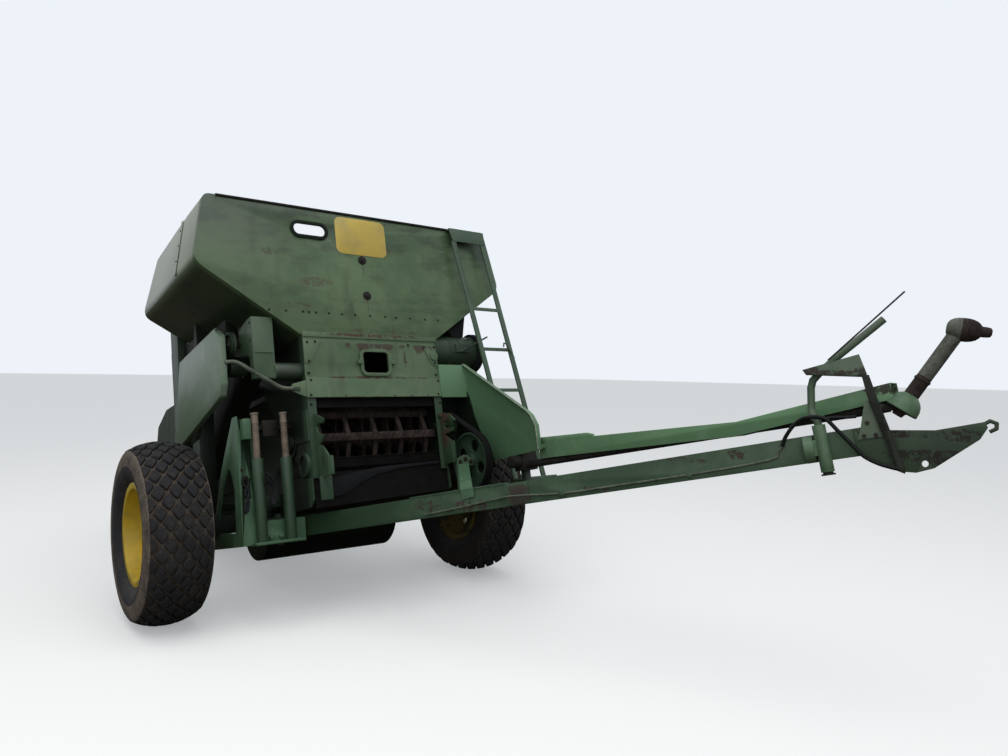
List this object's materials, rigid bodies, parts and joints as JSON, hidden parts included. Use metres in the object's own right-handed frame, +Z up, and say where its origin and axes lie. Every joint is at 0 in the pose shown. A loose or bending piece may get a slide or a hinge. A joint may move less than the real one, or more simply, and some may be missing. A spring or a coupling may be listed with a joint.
{
  "type": "pull-type combine harvester",
  "caption": "Pull-type grain combine without its header, parked nose-up: open throat with rasp-bar cylinder, grain tank, offset tongue, folded drive shaft and unloading auger.",
  "frame": {"origin": "bottom centre of the machine's box as it stands parked on its two wheels and its tail", "axes": "+X to the machine's left, +Y to its rear, +Z up; the body is tipped 13 degrees nose-up"},
  "size_m": [3, 7.7803, 2.927],
  "materials": {
    "black_rubber": "matte",
    "dark_steel": "matte",
    "green_paint": "satin",
    "pale_paint": "matte",
    "rusty_iron": "matte",
    "tyre": "matte",
    "yellow_paint": "satin"
  },
  "bodies": {
    "machine": {"axle": "green_paint", "main_frame": "green_paint", "side_right": "green_paint", "side_left": "green_paint", "hood": "green_paint", "underpan": "green_paint", "tail_curtain": "black_rubber", "separator_mass": "rusty_iron", "fan_housing": "green_paint", "throat_plates": "pale_paint", "throat_window": "dark_steel", "stone_trap": "rusty_iron", "throat_flap": "black_rubber", "concave": "rusty_iron", "feeder_hooks": "green_paint", "front_frame": "pale_paint", "lift_barrels": "green_paint", "jackshaft": "green_paint", "grain_tank": "green_paint", "tank_window": "black_rubber", "maker_plate": "yellow_paint", "tank_posts": "green_paint", "ladder": "green_paint", "auger_elbow": "green_paint", "outlet_boot": "black_rubber", "elevator_head": "green_paint", "grain_elevator": "pale_paint", "right_drive": "green_paint", "shield_left": "green_paint", "sheave_stand": "pale_paint", "drive_belt": "black_rubber", "tongue": "green_paint", "hitch_nose": "green_paint", "pto_channel": "green_paint", "pto_line": "dark_steel", "hitch_tower": "green_paint", "hitch_strap": "rusty_iron", "hose_stand": "green_paint", "hoses": "black_rubber", "jack_tube": "green_paint"},
    "wheel_right": {"tyre_right": "tyre", "rim_right": "yellow_paint"},
    "wheel_left": {"tyre_left": "tyre", "rim_left": "yellow_paint"},
    "cylinder": {"threshing_cylinder": "rusty_iron"},
    "sheave": {"drive_sheave": "green_paint"},
    "pulley": {"drive_pulley": "green_paint"},
    "auger": {"unloading_auger": "green_paint"},
    "jack": {"jack_leg": "dark_steel"},
    "folded_pto": {"folded_shaft": "green_paint"},
    "rod_outer": {"lift_rod_outer": "rusty_iron"},
    "rod_inner": {"lift_rod_inner": "rusty_iron"},
    "right_shield": {"shield_right": "pale_paint"},
    "tail_door": {"rear_door": "green_paint"}
  },
  "joints": [
    {"name": "right_wheel", "type": "hinge", "parent": "machine", "child": "wheel_right", "pos_m": [-1.29, 0.24616, 0.617], "axis": [1, 0, 0], "continuous": true},
    {"name": "left_wheel", "type": "hinge", "parent": "machine", "child": "wheel_left", "pos_m": [1.29, 0.24616, 0.617], "axis": [1, 0, 0], "continuous": true},
    {"name": "cylinder_spin", "type": "hinge", "parent": "machine", "child": "cylinder", "pos_m": [0.07, -0.03906, 1.20421], "axis": [1, 0, 0], "continuous": true},
    {"name": "sheave_spin", "type": "hinge", "parent": "machine", "child": "sheave", "pos_m": [0.71, -0.60309, 1.07272], "axis": [1, 0, 0], "continuous": true},
    {"name": "pulley_spin", "type": "hinge", "parent": "machine", "child": "pulley", "pos_m": [0.71, -0.27777, 1.32603], "axis": [1, 0, 0], "continuous": true},
    {"name": "auger_swing", "type": "hinge", "parent": "machine", "child": "auger", "pos_m": [1.006, 0.11053, 1.85217], "axis": [0, -0.225, -0.9744], "range_deg": [0, 93]},
    {"name": "jack_slide", "type": "slide", "parent": "machine", "child": "jack", "axis": [0.0066, -0.2388, -0.971], "range_m": [0, 0.22]},
    {"name": "pto_fold", "type": "hinge", "parent": "machine", "child": "folded_pto", "pos_m": [1.22, -3.51955, 1.62083], "axis": [0.9063, 0.4118, -0.0951], "range_deg": [0, 45]},
    {"name": "rod_outer_slide", "type": "slide", "parent": "machine", "child": "rod_outer", "axis": [0, 0.225, 0.9744], "range_m": [-0.23, 0.15]},
    {"name": "rod_inner_slide", "type": "slide", "parent": "machine", "child": "rod_inner", "axis": [0, 0.225, 0.9744], "range_m": [-0.23, 0.15]},
    {"name": "right_shield_lift", "type": "hinge", "parent": "machine", "child": "right_shield", "pos_m": [-0.95, 0.16916, 2.01721], "axis": [0, 0.9632, -0.2686], "range_deg": [0, 70]},
    {"name": "tail_door_lift", "type": "hinge", "parent": "machine", "child": "tail_door", "pos_m": [0.07, 3.7981, 0.70525], "axis": [1, 0, 0], "range_deg": [0, 60]}
  ],
  "couplings": [
    {"joint": "pulley_spin", "follows": "sheave_spin", "ratio": 2.6875}
  ]
}
